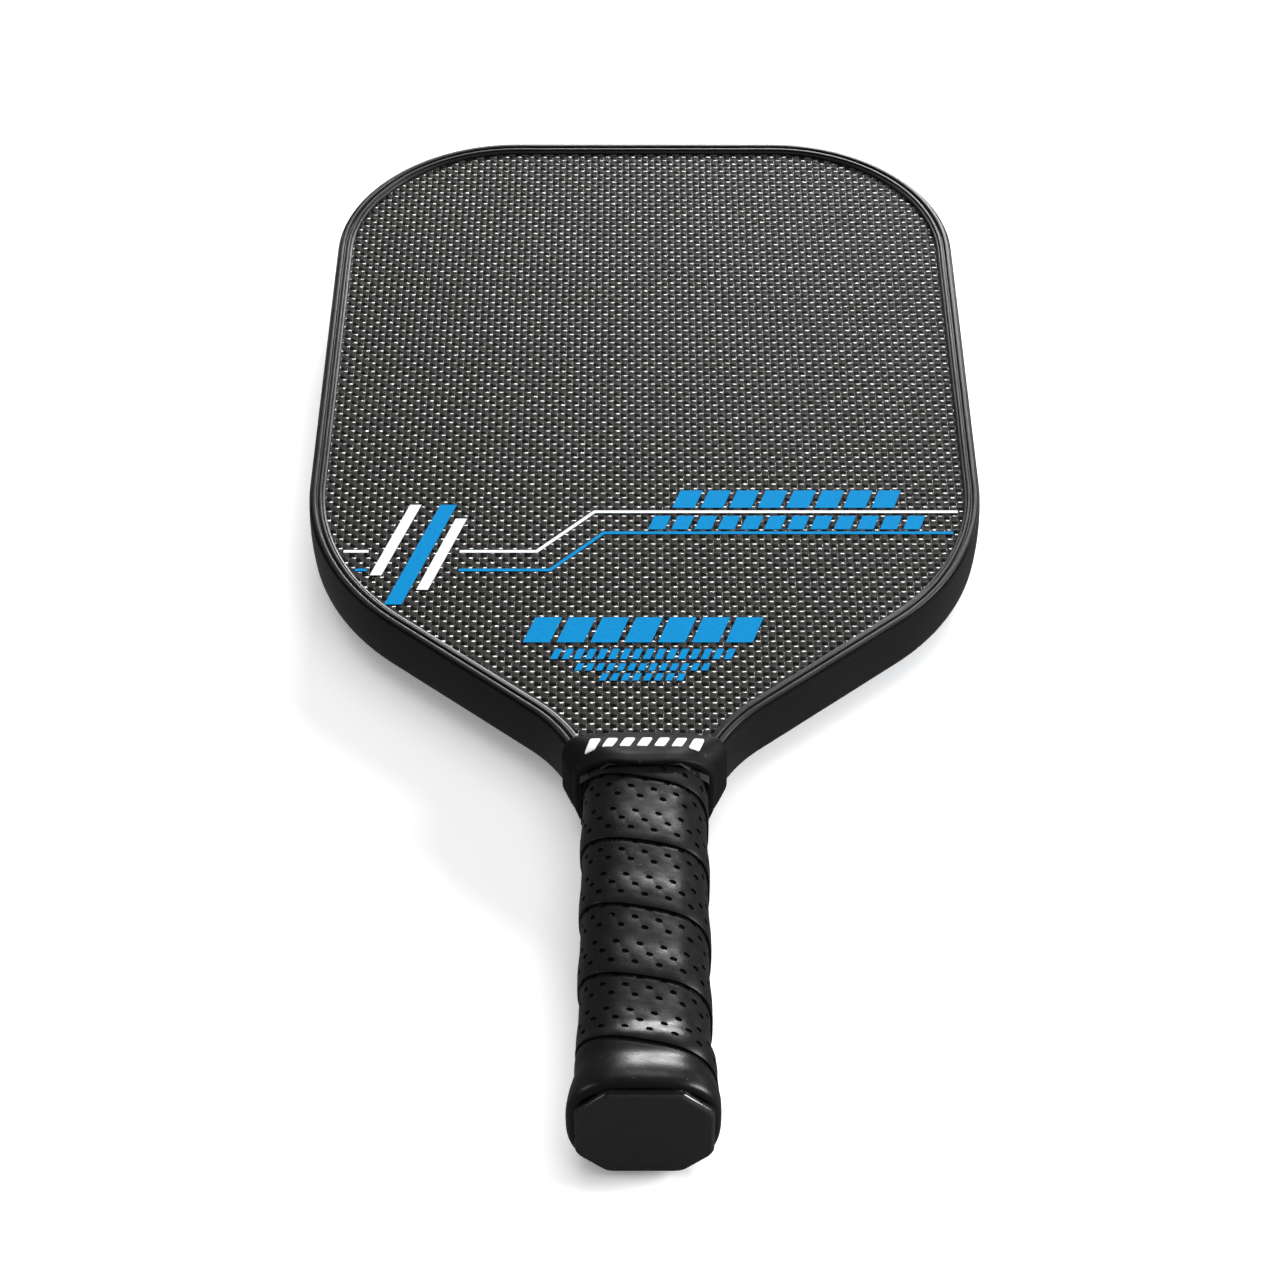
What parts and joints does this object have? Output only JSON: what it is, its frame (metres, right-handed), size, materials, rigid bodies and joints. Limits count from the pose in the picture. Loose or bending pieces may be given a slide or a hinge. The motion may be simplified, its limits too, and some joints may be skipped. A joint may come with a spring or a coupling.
{
  "type": "pickleball paddle",
  "caption": "Wide flat paddle with rounded corners, a woven fibre face, a moulded edge guard, a rubber throat collar and a wrapped octagonal handle with a flared butt.",
  "frame": {"origin": "centre of the butt cap's flat end face", "axes": "+X across the blade, +Y from the butt to the tip, +Z out of the front face"},
  "size_m": [0.2032, 0.4, 0.0376],
  "materials": {
    "core_polymer": "translucent white polypropylene honeycomb",
    "bond_film": "cured adhesive film",
    "woven_face": "plain weave of black and silver tows in clear resin",
    "edge_tape": "double-sided bonding tape",
    "edge_guard": "satin moulded black polymer",
    "pallet_wood": "bare light wood",
    "cap_plastic": "matte black moulding",
    "staple_steel": "galvanised wire",
    "grip_adhesive": "adhesive layer",
    "grip_felt": "nonwoven felt",
    "grip_cushion": "satin black cushioned synthetic leather, perforated",
    "finishing_tape": "black vinyl tape",
    "collar_rubber": "smooth matte black rubber",
    "collar_paint": "white raised marks",
    "white_ink": "screen-printed white ink",
    "blue_ink": "screen-printed cyan-blue ink"
  },
  "bodies": {
    "root": {"honeycomb_core": "core_polymer", "front_bond_film": "bond_film", "back_bond_film": "bond_film", "front_face_sheet": "woven_face", "back_face_sheet": "woven_face", "edge_tape": "edge_tape", "edge_guard": "edge_guard", "front_handle_pallet": "pallet_wood", "back_handle_pallet": "pallet_wood", "butt_cap": "cap_plastic", "butt_cap_staples": "staple_steel", "grip_adhesive": "grip_adhesive", "grip_felt": "grip_felt", "grip_wrap": "grip_cushion", "finishing_tape": "finishing_tape", "throat_collar": "collar_rubber", "collar_marks": "collar_paint", "front_white_print": "white_ink", "front_blue_print": "blue_ink", "back_white_print": "white_ink", "back_blue_print": "blue_ink"}
  },
  "joints": []
}
